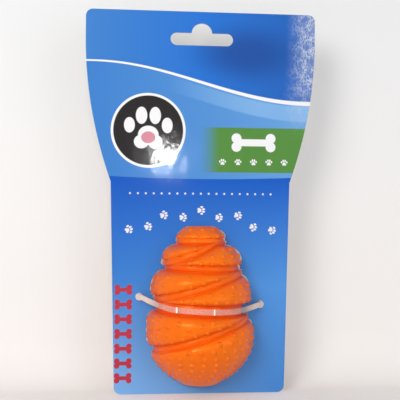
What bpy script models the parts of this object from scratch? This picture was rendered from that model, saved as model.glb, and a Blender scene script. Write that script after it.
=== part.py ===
# Beehive-shaped rubber dog toy, set in a die-cut hang card and held there by a cable tie.
# Metres, +Z up. The card stands in the XZ plane with its front towards -Y.
# The origin is the centre of the hang slot's straight part, halfway through the board.

import math

import bmesh
import bpy
from mathutils import Matrix, Vector

mm = 0.001

# Rubber toy, outer form over the lobes
toy_height = 79.0 * mm
belly_radius = 27.1 * mm
belly_height = 24.1 * mm
base_radius = 9.5 * mm
base_curve = 2.2
shoulder_radius = 15.4 * mm
shoulder_curve = 2.3
cap_radius = 12.4 * mm
crown_radius = 5.6 * mm
crown_curve = 2.1
base_height = -174.6 * mm

# Raised bands of the toy, from the top one down: drop below the crown at the left and at the
# right side, depth below the lobes at the left and at the right side, and width. A slanted band
# that reaches the band above runs on along it.
bands = {
    "cap_ring": (7.7 * mm, 7.5 * mm, 3.0 * mm, 4.6 * mm, 2.4 * mm),
    "upper_slant": (18.9 * mm, 5.0 * mm, 2.6 * mm, 4.1 * mm, 2.4 * mm),
    "upper_ring": (20.2 * mm, 21.2 * mm, 3.9 * mm, 3.3 * mm, 2.4 * mm),
    "middle_slant": (36.4 * mm, 23.2 * mm, 2.9 * mm, 2.6 * mm, 2.4 * mm),
    "waist_ring": (39.6 * mm, 41.4 * mm, 3.6 * mm, 4.8 * mm, 4.8 * mm),
    "lower_slant": (61.2 * mm, 45.6 * mm, 2.6 * mm, 3.2 * mm, 2.4 * mm),
}
tied_band = "waist_ring"
band_spacing = 0.5 * mm
band_relief = 0.5 * mm
groove_width = 0.45 * mm
shoulder_width = 2.0 * mm
underside_width = 3.1 * mm

# Low studs on the lobes
stud_base_radius = 0.85 * mm
stud_top_radius = 0.5 * mm
stud_height = 0.5 * mm
stud_root = 0.9 * mm
stud_row_pitch = 4.4 * mm
stud_spacing = 5.5 * mm
stud_to_band = 3.3 * mm
stud_to_strap = 4.5 * mm
smooth_base_rim = 4.5 * mm
smooth_crown_rim = 1.0 * mm

# Treat cavity, open at the base
mouth_radius = 7.5 * mm
mouth_depth = 9.0 * mm
cavity_radius = 14.0 * mm
cavity_depth = 58.0 * mm
cavity_top_radius = 5.0 * mm

# Hang card
card_thickness = 0.8 * mm
card_top = 14.2 * mm
card_strip_below_toy = 5.7 * mm
header_half_width = 58.9 * mm
waist_height = -73.2 * mm
waist_half_width = 45.8 * mm
foot_half_width = 43.4 * mm
card_corner_radius = 3.6 * mm
window_clearance = 0.38 * mm
window_reach = 1.6 * mm
slot_length = 32.0 * mm
slot_height = 6.3 * mm
slot_corner_radius = 3.1 * mm
slot_bump_radius = 5.25 * mm
slot_bump_rise = 5.0 * mm
tie_hole_radius = 1.9 * mm
tie_hole_to_belly = 3.8 * mm
left_hole_climb = 3.5 * mm
right_hole_climb = 2.0 * mm

# Cable tie
strap_width = 2.7 * mm
strap_thickness = 1.1 * mm
strap_clearance = 0.75 * mm
strap_bend_radius = 2.6 * mm
strap_climb_start = 14.0 * mm
strap_climb_power = 1.7
tooth_pitch = 1.6 * mm
tooth_depth = 0.25 * mm
head_length = 5.0 * mm
head_width = 4.8 * mm
head_to_bend = 3.2 * mm
head_wall = 0.95 * mm
head_clearance = 0.3 * mm
tail_stub = 2.4 * mm

# Fineness of the faceted solids
toy_columns = 30
base_rows = 5
stud_sides = 5
stud_turn = 31.0
cavity_steps = 20
curve_steps = 12
window_rows = 60
slope_step = 0.25 * mm

# Places that follow from the sizes above
card_bottom = base_height - card_strip_below_toy
tie_hole_spread = belly_radius + tie_hole_to_belly


# Small helpers

def clear_scene():
    for item in list(bpy.data.objects):
        bpy.data.objects.remove(item, do_unlink=True)


def make_collection(name):
    group = bpy.data.collections.new(name)
    bpy.context.scene.collection.children.link(group)
    return group


def make_material(name, colour, roughness):
    material = bpy.data.materials.new(name)
    material.use_nodes = True
    surface = material.node_tree.nodes["Principled BSDF"]
    surface.inputs["Base Color"].default_value = (*colour, 1.0)
    surface.inputs["Roughness"].default_value = roughness
    surface.inputs["Metallic"].default_value = 0.0
    return material


def add_object(name, mesh, group, material=None):
    item = bpy.data.objects.new(name, mesh)
    group.objects.link(item)
    if material is not None:
        item.data.materials.append(material)
    return item


def mesh_from(shape, name):
    mesh = bpy.data.meshes.new(name)
    shape.to_mesh(mesh)
    shape.free()
    return mesh


def as_mesh_object(item, group):
    # A curve becomes a mesh with its caps welded, where the curve stood
    bpy.context.view_layer.update()
    evaluated = item.evaluated_get(bpy.context.evaluated_depsgraph_get())
    mesh = bpy.data.meshes.new_from_object(evaluated)
    shape = bmesh.new()
    shape.from_mesh(mesh)
    bmesh.ops.remove_doubles(shape, verts=shape.verts, dist=0.001 * mm)
    shape.to_mesh(mesh)
    shape.free()
    name = item.name
    place = item.matrix_world.copy()
    bpy.data.objects.remove(item, do_unlink=True)
    result = bpy.data.objects.new(name, mesh)
    result.matrix_world = place
    group.objects.link(result)
    return result


def make_cutter(item):
    item.hide_render = True
    item.display_type = "WIRE"


def add_boolean(item, other, operation):
    modifier = item.modifiers.new(operation.lower() + "_" + other.name, "BOOLEAN")
    modifier.operation = operation
    modifier.solver = "EXACT"
    modifier.object = other


def between(low, high, share):
    return low + (high - low) * share


# Form of the toy: lobes on an egg, with zig-zag bands sunk between them

def body_radius(height):
    # Radius over the lobes below the cap, at a height above the toy's base
    if height <= belly_height:
        share = 1.0 - max(0.0, height) / belly_height
        return between(belly_radius, base_radius, share ** base_curve)
    share = (height - belly_height) / (neck_height() - belly_height)
    return between(belly_radius, shoulder_radius, min(1.0, share) ** shoulder_curve)


def neck_height():
    return toy_height - bands["cap_ring"][0]


def lobe_radius(height):
    neck = neck_height()
    if height <= neck:
        return body_radius(height)
    share = min(1.0, (height - neck) / (toy_height - neck))
    return between(cap_radius, crown_radius, share ** crown_curve)


def lobe_slope(height):
    rise = lobe_radius(height + slope_step) - lobe_radius(height - slope_step)
    return rise / (2.0 * slope_step)


def side_share(angle):
    # 0 at the left side, 1 at the right side
    return 0.5 + 0.5 * math.cos(angle)


def band_heights(angle):
    # Each band lies nearly in a plane that leans to one side
    heights = {}
    above = toy_height
    for name, band in bands.items():
        height = toy_height - between(band[0], band[1], side_share(angle))
        heights[name] = min(height, above - band_spacing)
        above = heights[name]
    return heights


def band_radius(name, height, angle):
    # Radius of the band's top
    left_depth, right_depth = bands[name][2:4]
    return body_radius(height) - between(left_depth, right_depth, side_share(angle))


def groove_end(name):
    # From a band's middle line to the outer edge of the groove beside it
    return bands[name][4] / 2.0 + groove_width


def rounding(distance, width):
    # Quarter of an ellipse: 0 at a lobe's edge, 1 where its rounded edge ends
    share = min(1.0, max(0.0, distance / width))
    return math.sqrt(1.0 - (1.0 - share) ** 2)


def toy_radius(height, angle):
    heights = band_heights(angle)
    nearest = min(heights, key=lambda name: abs(height - heights[name]) - groove_end(name))
    distance = abs(height - heights[nearest])
    if distance <= groove_end(nearest):
        across = min(1.0, distance / (bands[nearest][4] / 2.0))
        return band_radius(nearest, heights[nearest], angle) - band_relief * across ** 3
    return lobe_form(height, angle, heights)


def lobe_form(height, angle, heights):
    # A lobe swells from the groove below it to the groove above it, with rounded edges
    full = lobe_radius(height)
    above = [name for name in heights if heights[name] > height]
    below = [name for name in heights if heights[name] <= height]
    swell = 1.0
    floors = []
    if above:
        name = above[-1]
        swell *= rounding(heights[name] - groove_end(name) - height, shoulder_width)
        floors.append((heights[name], band_radius(name, heights[name], angle) - band_relief))
    if below:
        name = below[0]
        swell *= rounding(height - heights[name] - groove_end(name), underside_width)
        floors.append((heights[name], band_radius(name, heights[name], angle) - band_relief))
    if len(floors) == 2:
        (upper, upper_floor), (lower, lower_floor) = floors
        floor = between(lower_floor, upper_floor, (height - lower) / (upper - lower))
    else:
        floor = min(full, floors[0][1])
    return between(floor, max(full, floor), swell)


def band_steps(name, above):
    # Distances from a band's middle line to the rows of corners beside it
    width = underside_width if above else shoulder_width
    end = groove_end(name)
    flank = [end + width * share for share in (0.08, 0.35, 1.0)]
    return [bands[name][4] * 0.3, end - groove_width / 2.0] + flank


def toy_row_heights(angle):
    # Heights of the toy's rows of corners on one side, from the crown down
    middles = list(band_heights(angle).values())
    names = list(bands)
    above = band_steps(names[0], True)
    squeeze = min(1.0, (toy_height - middles[0]) * 0.9 / above[-1])
    highest = middles[0] + above[-1] * squeeze
    heights = [between(highest, toy_height, share) for share in (1.0, 0.85, 0.5)]
    heights += [middles[0] + step * squeeze for step in reversed(above)]
    for index in range(len(names) - 1):
        upper, lower = middles[index:index + 2]
        below = band_steps(names[index], False)
        above = band_steps(names[index + 1], True)
        squeeze = min(1.0, (upper - lower) / (below[-1] + above[-1]) * 0.96)
        heights.append(upper)
        heights += [upper - step * squeeze for step in below]
        heights.append(between(heights[-1], lower + above[-1] * squeeze, 0.5))
        heights += [lower + step * squeeze for step in reversed(above)]
    heights.append(middles[-1])
    heights += [middles[-1] - step for step in band_steps(names[-1], False)]
    lowest = heights[-1]
    for row in range(1, base_rows + 1):
        heights.append(lowest * (1.0 - math.sin(math.pi / 2.0 * row / base_rows)))
    return heights


def make_toy_skin():
    # A sphere whose rings of corners are moved onto the toy's form
    rows = len(toy_row_heights(0.0))
    shape = bmesh.new()
    bmesh.ops.create_uvsphere(shape, u_segments=toy_columns, v_segments=rows + 1, radius=1.0)
    columns = {}
    for corner in shape.verts:
        row = round(math.acos(max(-1.0, min(1.0, corner.co.z))) / math.pi * (rows + 1))
        if row == 0:
            corner.co = Vector((0.0, 0.0, toy_height))
            continue
        if row == rows + 1:
            corner.co = Vector((0.0, 0.0, 0.0))
            continue
        angle = math.atan2(corner.co.y, corner.co.x)
        key = round(angle * toy_columns)
        if key not in columns:
            columns[key] = toy_row_heights(angle)
        height = columns[key][row - 1]
        radius = toy_radius(height, angle)
        corner.co = Vector((radius * math.cos(angle), radius * math.sin(angle), height))
    bmesh.ops.recalc_face_normals(shape, faces=shape.faces)
    return mesh_from(shape, "toy_body")


def stud_places():
    # Rows of studs climb from each band to the next, staggered row by row
    places = []
    above = None
    for name in list(bands) + [None]:
        row = 0
        found = True
        while found:
            found = False
            radius = lobe_radius(lobe_row_height(name, row, 0.0))
            count = max(3, round(2.0 * math.pi * radius / stud_spacing))
            for place in range(count):
                angle = 2.0 * math.pi * (place + 0.5 * (row % 2)) / count
                height = lobe_row_height(name, row, angle)
                top = toy_height - smooth_crown_rim
                if above:
                    reach = stud_to_strap if above == tied_band else stud_to_band
                    top = band_heights(angle)[above] - reach
                if height <= top:
                    places.append((height, angle))
                    found = True
            row += 1
        above = name
    return places


def lobe_row_height(name, row, angle):
    # Height of a row of studs in the lobe above a band, or above the smooth base rim
    height = smooth_base_rim
    if name:
        reach = stud_to_strap if name == tied_band else stud_to_band
        height = band_heights(angle)[name] + reach
    for _ in range(row):
        slope = lobe_slope(height)
        height += stud_row_pitch / math.sqrt(1.0 + slope * slope)
    return height


def make_studs(group):
    shape = bmesh.new()
    for height, angle in stud_places():
        radius = toy_radius(height, angle)
        slope = (toy_radius(height + slope_step, angle) - toy_radius(height - slope_step, angle))
        slope /= 2.0 * slope_step
        outward = Vector((math.cos(angle), math.sin(angle), -slope)).normalized()
        foot = Vector((radius * math.cos(angle), radius * math.sin(angle), height))
        middle = foot + outward * (stud_height - stud_root) / 2.0
        turn = outward.to_track_quat("Z", "Y").to_matrix().to_4x4()
        turn @= Matrix.Rotation(math.radians(stud_turn), 4, "Z")
        bmesh.ops.create_cone(shape, cap_ends=True, cap_tris=False, segments=stud_sides,
                              radius1=stud_base_radius, radius2=stud_top_radius,
                              depth=stud_height + stud_root,
                              matrix=Matrix.Translation(middle) @ turn)
    return add_object("toy_studs", mesh_from(shape, "toy_studs"), group)


def make_cavity(group):
    # Turned hollow: a mouth, a wider chamber and a rounded top
    profile = [
        (0.0, cavity_depth),
        (cavity_top_radius, cavity_depth),
        (between(cavity_top_radius, cavity_radius, 0.55), between(mouth_depth, cavity_depth, 0.88)),
        (between(cavity_top_radius, cavity_radius, 0.9), between(mouth_depth, cavity_depth, 0.6)),
        (cavity_radius, between(mouth_depth, cavity_depth, 0.3)),
        (cavity_radius, mouth_depth + (cavity_radius - mouth_radius)),
        (mouth_radius, mouth_depth),
        (mouth_radius, -2.0 * mm),
        (0.0, -2.0 * mm),
    ]
    mesh = bpy.data.meshes.new("toy_cavity")
    points = [(radius, 0.0, height) for radius, height in profile]
    edges = [(step, step + 1) for step in range(len(points) - 1)]
    mesh.from_pydata(points, edges, [])
    item = add_object("toy_cavity", mesh, group)
    screw = item.modifiers.new("turn", "SCREW")
    screw.axis = "Z"
    screw.steps = cavity_steps
    screw.render_steps = cavity_steps
    screw.use_merge_vertices = True
    screw.merge_threshold = 0.01 * mm
    return item


def make_toy(parts, cutters, material):
    toy = add_object("toy_body", make_toy_skin(), parts, material)
    toy.location.z = base_height
    for item, operation in ((make_studs(cutters), "UNION"), (make_cavity(cutters), "DIFFERENCE")):
        item.location.z = base_height
        make_cutter(item)
        add_boolean(toy, item, operation)
    toy.data.shade_smooth()
    return toy


# Hang card: one die-cut board

def add_outline(curve, points):
    line = curve.splines.new("POLY")
    line.points.add(len(points) - 1)
    for point, (x, height) in zip(line.points, points):
        point.co = (x, height, 0.0, 1.0)
    line.use_cyclic_u = True


def arc(centre_x, centre_height, radius, start, end, steps):
    points = []
    for step in range(steps + 1):
        angle = math.radians(between(start, end, step / steps))
        points.append((centre_x + radius * math.cos(angle), centre_height + radius * math.sin(angle)))
    return points


def card_side():
    # Right side from the foot up: a straight lower side, then a curve that widens to the header
    points = []
    for step in range(curve_steps + 1):
        share = step / curve_steps
        rise = between(waist_height, 0.0, share)
        spread = header_half_width - waist_half_width
        points.append((header_half_width - spread * (1.0 - share) ** 2, rise))
    return points


def card_outline():
    corner = card_corner_radius
    right = []
    right += arc(foot_half_width - corner, card_bottom + corner, corner, -90, 0, 6)
    right += card_side()
    right += arc(header_half_width - corner, card_top - corner, corner, 0, 90, 6)
    left = [(-x, height) for x, height in reversed(right)]
    return right + left


def window_outline():
    # The window follows the toy's own outline over its studs, with its notches drawn in less
    gap = stud_height + window_clearance
    sides = []
    for angle in (0.0, math.pi):
        points = []
        for step in range(window_rows + 1):
            height = toy_height * step / window_rows
            near = [min(toy_height, max(0.0, height + window_reach * share / 2.0))
                    for share in (-2.0, -1.5, -1.0, -0.5, 0.0, 0.5, 1.0, 1.5, 2.0)]
            radius = max(toy_radius(level, angle) for level in near)
            points.append((radius + gap, height))
        sides.append(points)
    right, left = sides
    outline = [(base_radius, -window_clearance)] + right
    outline += [(crown_radius, toy_height + window_clearance)]
    outline += [(-crown_radius, toy_height + window_clearance)]
    outline += [(-x, height) for x, height in reversed(left)] + [(-base_radius, -window_clearance)]
    return [(x, height + base_height) for x, height in outline]


def slot_outline():
    # Wide slot with rounded ends and a round bump over its middle for a display peg
    end = slot_length / 2.0 - slot_corner_radius
    low = -slot_height / 2.0 + slot_corner_radius
    high = slot_height / 2.0 - slot_corner_radius
    bump_middle = slot_height / 2.0 + slot_bump_rise - slot_bump_radius
    foot = math.degrees(math.asin((slot_height / 2.0 - bump_middle) / slot_bump_radius))
    points = arc(end, low, slot_corner_radius, -90, 0, 5)
    points += arc(end, high, slot_corner_radius, 0, 90, 5)
    points += arc(0.0, bump_middle, slot_bump_radius, foot, 180 - foot, 14)
    points += arc(-end, high, slot_corner_radius, 90, 180, 5)
    points += arc(-end, low, slot_corner_radius, 180, 270, 5)
    return points


def make_card(parts, material):
    curve = bpy.data.curves.new("hang_card", "CURVE")
    curve.dimensions = "2D"
    curve.fill_mode = "BOTH"
    curve.extrude = card_thickness / 2.0
    add_outline(curve, card_outline())
    add_outline(curve, window_outline())
    add_outline(curve, slot_outline())
    for x in (-tie_hole_spread, tie_hole_spread):
        circle = arc(x, tie_hole_height(x), tie_hole_radius, 0, 345, 23)
        add_outline(curve, circle)
    card = bpy.data.objects.new("hang_card", curve)
    card.rotation_euler.x = math.radians(90)
    parts.objects.link(card)
    curve.materials.append(material)
    return card


# Cable tie: one strap through both holes and round the toy, locked in its own head

def tie_sizes():
    # The strap's middle line wraps the tied band's top and bends at each hole
    side = math.pi / 2.0
    wrap = toy_radius(band_heights(side)[tied_band], side) + strap_clearance + strap_thickness / 2.0
    bend_middle = tie_hole_spread - strap_bend_radius
    lean = math.acos((wrap - strap_bend_radius) / bend_middle)
    return wrap, bend_middle, lean


def tied_band_rise(x):
    # The tied band's middle line seen from the front, carried on past the toy's sides
    left_drop, right_drop = bands[tied_band][:2]
    middle_drop = (left_drop + right_drop) / 2.0
    tilt = (left_drop - right_drop) / (2.0 * toy_radius(toy_height - middle_drop, 0.0))
    return base_height + toy_height - middle_drop + tilt * x


def tie_hole_climb(x):
    return left_hole_climb if x < 0.0 else right_hole_climb


def tie_hole_height(x):
    # Each hole is a little above the tied band's line
    return tied_band_rise(x) + tie_hole_climb(x)


def strap_rise(x):
    # Height of the strap's middle line: along the tied band in front, and up to each hole
    full = tie_hole_spread - strap_thickness
    share = min(1.0, max(0.0, abs(x) - strap_climb_start) / (full - strap_climb_start))
    return tied_band_rise(x) + tie_hole_climb(x) * share ** strap_climb_power


def strap_line():
    # Corners of the strap's middle line, seen from above, from the head round to the tail
    wrap, bend_middle, lean = tie_sizes()
    straight = math.sqrt(bend_middle ** 2 - (wrap - strap_bend_radius) ** 2)
    outward = Vector((math.cos(lean), math.sin(lean)))
    along = Vector((math.sin(lean), -math.cos(lean)))
    leave = outward * wrap
    head_middle = leave + along * (straight - head_to_bend - head_length / 2.0)
    path = [head_middle]

    def add_straight(target):
        start = path[-1]
        count = max(1, round((target - start).length / (tooth_pitch / 2.0)))
        for step in range(1, count + 1):
            path.append(start.lerp(target, step / count))

    def add_arc(middle, radius, start, end):
        count = max(4, round(abs(end - start) * radius / (tooth_pitch / 2.0)))
        for step in range(1, count + 1):
            angle = between(start, end, step / count)
            path.append(middle + Vector((math.cos(angle), math.sin(angle))) * radius)

    left = Vector((-bend_middle, 0.0))
    right = Vector((bend_middle, 0.0))
    turn = math.pi
    add_straight(leave)
    add_arc(Vector((0.0, 0.0)), wrap, lean, turn - lean)
    add_straight(left + Vector((-math.cos(lean), math.sin(lean))) * strap_bend_radius)
    add_arc(left, strap_bend_radius, turn - lean, turn + lean)
    add_straight(Vector((-math.cos(lean), -math.sin(lean))) * wrap)
    add_arc(Vector((0.0, 0.0)), wrap, turn + lean, 2.0 * turn - lean)
    add_straight(right + Vector((math.cos(lean), -math.sin(lean))) * strap_bend_radius)

    slot_middle = head_middle + outward * slot_offset()
    tail_lean = tail_angle(right, slot_middle)
    add_arc(right, strap_bend_radius, -lean, tail_lean)
    tail_along = Vector((-math.sin(tail_lean), math.cos(tail_lean)))
    add_straight(slot_middle + tail_along * (head_length / 2.0 + tail_stub))
    return path, head_middle, outward, along, tail_lean


def slot_offset():
    # From the middle of the strap's root to the middle of the tail in the slot
    return strap_thickness + 2.0 * head_clearance


def tail_angle(middle, target):
    # Angle on the bend where a straight tail leaves it towards the slot
    reach = target - middle
    return math.atan2(reach.y, reach.x) - math.acos(strap_bend_radius / reach.length)


def make_strap(parts, material):
    path, head_middle, outward, along, tail_lean = strap_line()
    curve = bpy.data.curves.new("cable_tie", "CURVE")
    curve.dimensions = "2D"
    curve.fill_mode = "NONE"
    curve.extrude = strap_width / 2.0
    line = curve.splines.new("POLY")
    line.points.add(len(path) - 1)
    for point, place in zip(line.points, path):
        point.co = (place.x, place.y, 0.0, 1.0)
    ribbon = bpy.data.objects.new("cable_tie", curve)
    parts.objects.link(ribbon)
    ribbon = as_mesh_object(ribbon, parts)
    thicken = ribbon.modifiers.new("thickness", "SOLIDIFY")
    thicken.thickness = strap_thickness
    thicken.offset = 0.0
    ribbon = apply_modifiers(ribbon, parts)
    cut_teeth(ribbon, path)
    for corner in ribbon.data.vertices:
        corner.co.z += strap_rise(corner.co.x)
    ribbon.data.materials.clear()
    ribbon.data.materials.append(material)
    return ribbon


def apply_modifiers(item, group):
    bpy.context.view_layer.update()
    evaluated = item.evaluated_get(bpy.context.evaluated_depsgraph_get())
    mesh = bpy.data.meshes.new_from_object(evaluated)
    name = item.name
    bpy.data.objects.remove(item, do_unlink=True)
    result = bpy.data.objects.new(name, mesh)
    group.objects.link(result)
    return result


def cut_teeth(ribbon, path):
    # Every second corner on the inner side is drawn in, which leaves a row of ratchet teeth
    ends = (0, 1, len(path) - 2, len(path) - 1)
    for corner in ribbon.data.vertices:
        flat = Vector((corner.co.x, corner.co.y))
        index = min(range(len(path)), key=lambda step: (path[step] - flat).length_squared)
        if index in ends or index % 2:
            continue
        ahead = (path[index + 1] - path[index - 1]).normalized()
        inward = Vector((-ahead.y, ahead.x))
        if (flat - path[index]).dot(inward) > 0.0:
            corner.co.x -= inward.x * tooth_depth
            corner.co.y -= inward.y * tooth_depth


def make_head(cutters):
    # A block with a slot, built about the strap's root and turned to lie along it
    path, head_middle, outward, along, tail_lean = strap_line()
    rise = strap_rise(head_middle.x)
    skin = 0.12 * mm
    inner = -strap_thickness / 2.0 - skin
    outer = slot_offset() + strap_thickness / 2.0 + head_clearance + head_wall
    lean_drop = math.sin(tail_turn(tail_lean, outward)) * head_length / 2.0
    outer += lean_drop
    block = bmesh.new()
    bmesh.ops.create_cube(block, size=1.0)
    size = Vector((outer - inner, head_length, head_width))
    bmesh.ops.scale(block, vec=size, verts=block.verts)
    bmesh.ops.translate(block, vec=((outer + inner) / 2.0, 0.0, 0.0), verts=block.verts)
    head = add_object("tie_head", mesh_from(block, "tie_head"), cutters)
    angle = math.atan2(outward.y, outward.x)
    place = Matrix.Translation((head_middle.x, head_middle.y, rise)) @ Matrix.Rotation(angle, 4, "Z")
    head.matrix_world = place
    soften = head.modifiers.new("soft_edges", "BEVEL")
    soften.width = 0.5 * mm
    soften.segments = 2
    soften.limit_method = "ANGLE"
    hollow = bmesh.new()
    bmesh.ops.create_cube(hollow, size=1.0)
    opening = Vector((strap_thickness + 2.0 * head_clearance, 2.0 * head_length,
                      strap_width + 2.0 * head_clearance))
    bmesh.ops.scale(hollow, vec=opening, verts=hollow.verts)
    slot = add_object("tie_head_slot", mesh_from(hollow, "tie_head_slot"), cutters)
    slot.matrix_world = (place @ Matrix.Translation((slot_offset(), 0.0, 0.0))
                         @ Matrix.Rotation(tail_turn(tail_lean, outward), 4, "Z"))
    add_boolean(head, slot, "DIFFERENCE")
    make_cutter(slot)
    make_cutter(head)
    return head


def tail_turn(tail_lean, outward):
    # How far the tail's line is turned from the root's line
    return tail_lean - math.atan2(outward.y, outward.x)


def make_tie(parts, cutters, material):
    strap = make_strap(parts, material)
    head = make_head(cutters)
    add_boolean(strap, head, "UNION")
    return strap


def build():
    clear_scene()
    parts = make_collection("carded_dog_toy")
    cutters = make_collection("cutters")
    rubber = make_material("natural_rubber", (0.90, 0.127, 0.008), 0.35)
    board = make_material("coated_board", (0.12, 0.31, 0.68), 0.3)
    nylon = make_material("natural_nylon", (0.82, 0.76, 0.68), 0.4)
    make_toy(parts, cutters, rubber)
    make_card(parts, board)
    make_tie(parts, cutters, nylon)


build()
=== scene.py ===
import math
import bpy
from mathutils import Matrix, Vector


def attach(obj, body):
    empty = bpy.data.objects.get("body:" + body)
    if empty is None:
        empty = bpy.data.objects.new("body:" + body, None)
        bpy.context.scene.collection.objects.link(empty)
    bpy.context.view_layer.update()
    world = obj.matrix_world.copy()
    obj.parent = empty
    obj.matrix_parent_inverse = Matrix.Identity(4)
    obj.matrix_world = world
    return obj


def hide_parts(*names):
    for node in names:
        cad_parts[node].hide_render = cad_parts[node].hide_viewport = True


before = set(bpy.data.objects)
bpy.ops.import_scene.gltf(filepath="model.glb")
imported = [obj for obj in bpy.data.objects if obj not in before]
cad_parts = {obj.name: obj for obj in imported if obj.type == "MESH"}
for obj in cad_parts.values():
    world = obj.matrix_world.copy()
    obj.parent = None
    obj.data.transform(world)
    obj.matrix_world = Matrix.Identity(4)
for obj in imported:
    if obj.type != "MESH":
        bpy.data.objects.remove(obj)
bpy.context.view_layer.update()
mm = 0.001
weld = 0.002 * mm    # corners nearer to each other than this are merged
scene = bpy.context.scene

# All sizes below are millimetres unless a line says otherwise

# Shared helpers

def between(low, high, share):
    return low + (high - low) * share


def colourFrom(code):
    # sRGB hex to the linear values that shaders use
    values = []
    for start in (1, 3, 5):
        part = int(code[start:start + 2], 16) / 255.0
        values.append(part / 12.92 if part <= 0.04045 else ((part + 0.055) / 1.055) ** 2.4)
    return (*values, 1.0)


def addNode(material, kind, inputs=None, **settings):
    # One node; each input is a plain value or the socket that feeds it
    node = material.node_tree.nodes.new("ShaderNode" + kind)
    for name, value in settings.items():
        setattr(node, name, value)
    for key, value in (inputs or {}).items():
        if isinstance(value, bpy.types.NodeSocket):
            material.node_tree.links.new(value, node.inputs[key])
        else:
            node.inputs[key].default_value = value
    return node


def newMaterial(name):
    material = bpy.data.materials.new(name)
    material.use_nodes = True
    material.node_tree.nodes.clear()
    return material


def deselectAll():
    if bpy.context.object and bpy.context.object.mode != "OBJECT":
        bpy.ops.object.mode_set(mode="OBJECT")
    bpy.ops.object.select_all(action="DESELECT")


def pick(item):
    deselectAll()
    item.select_set(True)
    bpy.context.view_layer.objects.active = item


def applyModifier(item, name, kind, **settings):
    pick(item)
    modifier = item.modifiers.new(name, kind)
    for key, value in settings.items():
        setattr(modifier, key, value)
    bpy.ops.object.modifier_apply(modifier=name)


def makeTurned(rings, sides):
    # A round solid: a disc drawn along and in or out from ring to ring, closed at both ends
    radius, height = rings[0]
    deselectAll()
    bpy.ops.mesh.primitive_circle_add(vertices=sides, radius=radius * mm, fill_type="NGON",
                                      location=(0.0, 0.0, height * mm))
    item = bpy.context.object
    bpy.ops.object.transform_apply(location=True, rotation=False, scale=False)
    bpy.ops.object.mode_set(mode="EDIT")
    bpy.ops.mesh.select_all(action="SELECT")
    for nextRadius, nextHeight in rings[1:]:
        bpy.ops.mesh.extrude_region_move(
            TRANSFORM_OT_translate={"value": (0.0, 0.0, (nextHeight - height) * mm)})
        share = nextRadius / radius
        bpy.ops.transform.resize(value=(share, share, 1.0))
        radius, height = nextRadius, nextHeight
    bpy.ops.mesh.select_all(action="SELECT")
    bpy.ops.mesh.normals_make_consistent(inside=False)
    bpy.ops.object.mode_set(mode="OBJECT")
    return item


# The rubber toy's outer form: the same lobes and zig-zag bands as the moulded solid
toy = {
    "height": 79.0,
    "base": -174.6,
    "bellyRadius": 27.05,
    "bellyHeight": 24.3,
    "baseRadius": 9.9,
    "baseCurve": 2.25,
    "shoulderRadius": 15.8,
    "shoulderCurve": 2.5,
    "capRadius": 12.8,
    "crownRadius": 6.2,
    "crownCurve": 2.4,
    # each band: drop at the left and at the right, depth at the left and at the right, width
    "bands": [
        (7.7, 7.5, 3.4, 3.9, 2.6),
        (18.9, 5.0, 2.1, 3.3, 2.6),
        (20.2, 21.2, 3.7, 2.8, 2.6),
        (36.4, 23.2, 2.5, 1.9, 2.6),
        (39.6, 41.4, 3.8, 5.0, 4.8),
        (61.2, 45.6, 2.4, 2.4, 2.6),
    ],
    "tiedBand": 4,            # the band that the cable tie lies on, counted from 0
    "bandSpacing": 0.5,       # a slanted band that reaches the one above runs on along it
    "bandRelief": 0.42,
    "crestCurve": 3,          # higher makes a band's crest flatter and its sides steeper
    "grooveWidth": 0.35,
    "shoulderWidth": 4.6,     # height over which a lobe rounds off below a band
    "undersideWidth": 3.6,    # and above one
    "rimHeight": 4.4,         # thin parting groove above the plain base rim
    "rimGroove": 0.3,
    "rimSoftness": 0.28,
    "slopeStep": 0.25,        # the slope of the form is measured over this much either way
    "columns": 224,           # corners round the toy
    "lobeRows": 9,            # rows of corners across the open part of a lobe
    "domeRows": 7,
    "baseRows": 26,
    # fine rows of corners beside a band, as shares of its half width, of the groove beside it
    # and of the height over which the lobe rounds off
    "crestRows": (0.2, 0.4, 0.6, 0.75, 0.88, 1.0),
    "grooveRows": (0.35, 0.7, 0.97),
    "roundingRows": (0.01, 0.04, 0.09, 0.16, 0.26, 0.4, 0.6, 0.8, 1.0),
    "rowSpace": 0.9,          # share of the space between two bands that their fine rows may fill
}

studs = {
    "rowPitch": 3.9,
    "spacing": 6.0,
    "toBand": 2.8,
    "toStrap": 4.5,
    "phase": 0.25,            # no stud stands in the card's plane, so the window can lie close
    "baseRim": 4.5,
    "crownRim": 1.0,
    "sides": 10,
    # radius and height of each ring of a stud, from its flared foot to its top
    "rings": [(1.24, -0.16), (1.14, 0.02), (1.04, 0.17), (0.90, 0.37), (0.64, 0.51), (0.31, 0.56)],
}

hollow = {
    "sides": 72,
    # radius and height from the mouth's rounded lip up to the closed top
    "profile": [(9.4, -1.0), (8.9, 0.0), (8.15, 0.25), (7.68, 0.75), (7.5, 1.5), (7.5, 9.0),
                (14.0, 15.5), (14.0, 23.7), (13.1, 38.4), (9.95, 52.1), (7.8, 56.2), (5.0, 58.0)],
}


def bodyRadius(height):
    # Over the lobes below the cap
    belly, neck = toy["bellyHeight"], toy["height"] - toy["bands"][0][0]
    if height <= belly:
        share = 1.0 - max(0.0, height) / belly
        return between(toy["bellyRadius"], toy["baseRadius"], share ** toy["baseCurve"])
    share = min(1.0, (height - belly) / (neck - belly))
    return between(toy["bellyRadius"], toy["shoulderRadius"], share ** toy["shoulderCurve"])


def lobeRadius(height):
    # Over the lobes and the cap
    neck = toy["height"] - toy["bands"][0][0]
    if height <= neck:
        return bodyRadius(height)
    share = min(1.0, (height - neck) / (toy["height"] - neck))
    return between(toy["capRadius"], toy["crownRadius"], share ** toy["crownCurve"])


def lobeSlope(height):
    step = toy["slopeStep"]
    return (lobeRadius(height + step) - lobeRadius(height - step)) / (2.0 * step)


def sideShare(angle):
    # 0 at the toy's left side and 1 at its right side
    return 0.5 + 0.5 * math.cos(angle)


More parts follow.
